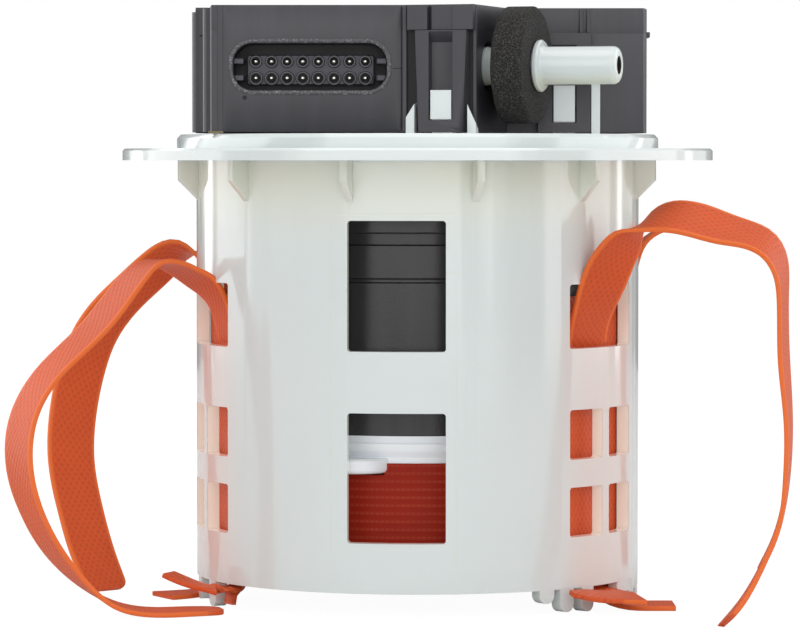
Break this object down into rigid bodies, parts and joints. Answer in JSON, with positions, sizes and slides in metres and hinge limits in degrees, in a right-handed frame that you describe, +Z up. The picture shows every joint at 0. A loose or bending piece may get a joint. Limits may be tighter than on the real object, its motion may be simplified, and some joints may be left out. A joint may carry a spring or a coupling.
{
  "type": "diesel exhaust fluid pump",
  "caption": "In-tank fluid supply module: round flange with a windowed cage, pump pot, heater core and straps, control unit and outlet spigot.",
  "frame": {"origin": "centre of the flange's underside, on the module's axis, where the flange meets the tank", "axes": "+Z up along the module's axis towards the control unit, -Y towards the electrical header, +X towards the outlet spigot"},
  "size_m": [0.2019, 0.1528, 0.1535],
  "materials": {
    "white_plastic": "milky white moulded plastic, glossy, lets a little light through",
    "spigot_plastic": "natural white plastic",
    "black_plastic": "black satin plastic",
    "pot_plastic": "black glossy plastic",
    "foam": "black open foam",
    "silicone": "orange silicone with embossed dots",
    "core_silicone": "orange silicone over a woven heater",
    "seal_rubber": "black sealing rubber",
    "steel": "stainless steel",
    "pin_metal": "tinned contact metal",
    "copper": "enamelled winding wire",
    "board": "green laminate",
    "magnet": "sintered magnet",
    "filter_mesh": "pleated filter fabric"
  },
  "bodies": {
    "module": {"flange_cage": "white_plastic", "control_housing": "black_plastic", "control_cover": "black_plastic", "cover_seal": "seal_rubber", "connector_shroud": "black_plastic", "connector_pins": "pin_metal", "circuit_board": "board", "board_components": "magnet", "board_screws": "steel", "outlet_spigot": "spigot_plastic", "foam_ring": "foam", "outlet_tube": "spigot_plastic", "tube_o_ring": "seal_rubber", "pump_pot": "pot_plastic", "motor_can": "steel", "stator_core": "steel", "stator_windings": "copper", "upper_bearing": "black_plastic", "lower_bearing": "black_plastic", "pump_body": "black_plastic", "pump_cover": "black_plastic", "pump_screws": "steel", "driven_gear_pin": "steel", "shaft_seal": "seal_rubber", "check_valve_seat": "spigot_plastic", "check_valve_spring": "steel", "core_ring": "spigot_plastic", "heater_core": "core_silicone", "sensor_cap": "spigot_plastic", "base_plate": "white_plastic", "inlet_filter": "filter_mesh", "suction_tube": "black_plastic", "level_sensor": "steel", "pressure_sensor": "steel", "motor_leads": "black_plastic", "heater_strap_front_right": "silicone", "heater_strap_front_left": "silicone", "heater_strap_rear_left": "silicone", "heater_strap_rear_right": "silicone"},
    "rotor": {"motor_shaft": "steel", "rotor_magnet": "magnet", "drive_gear": "steel"},
    "idler": {"driven_gear": "steel"},
    "valve": {"check_valve_poppet": "black_plastic"}
  },
  "joints": [
    {"name": "rotor_spin", "type": "hinge", "parent": "module", "child": "rotor", "pos_m": [0, 0, 0], "axis": [0, 0, 1], "continuous": true},
    {"name": "idler_spin", "type": "hinge", "parent": "module", "child": "idler", "pos_m": [0.01212, 0, 0], "axis": [0, 0, 1], "continuous": true},
    {"name": "valve_lift", "type": "slide", "parent": "module", "child": "valve", "axis": [0, 0, 1], "range_m": [0, 0.001], "stiffness_N_per_m": 200, "springref_m": -0.001, "deforming": ["check_valve_spring"]}
  ],
  "couplings": [
    {"joint": "idler_spin", "follows": "rotor_spin", "ratio": -1}
  ]
}
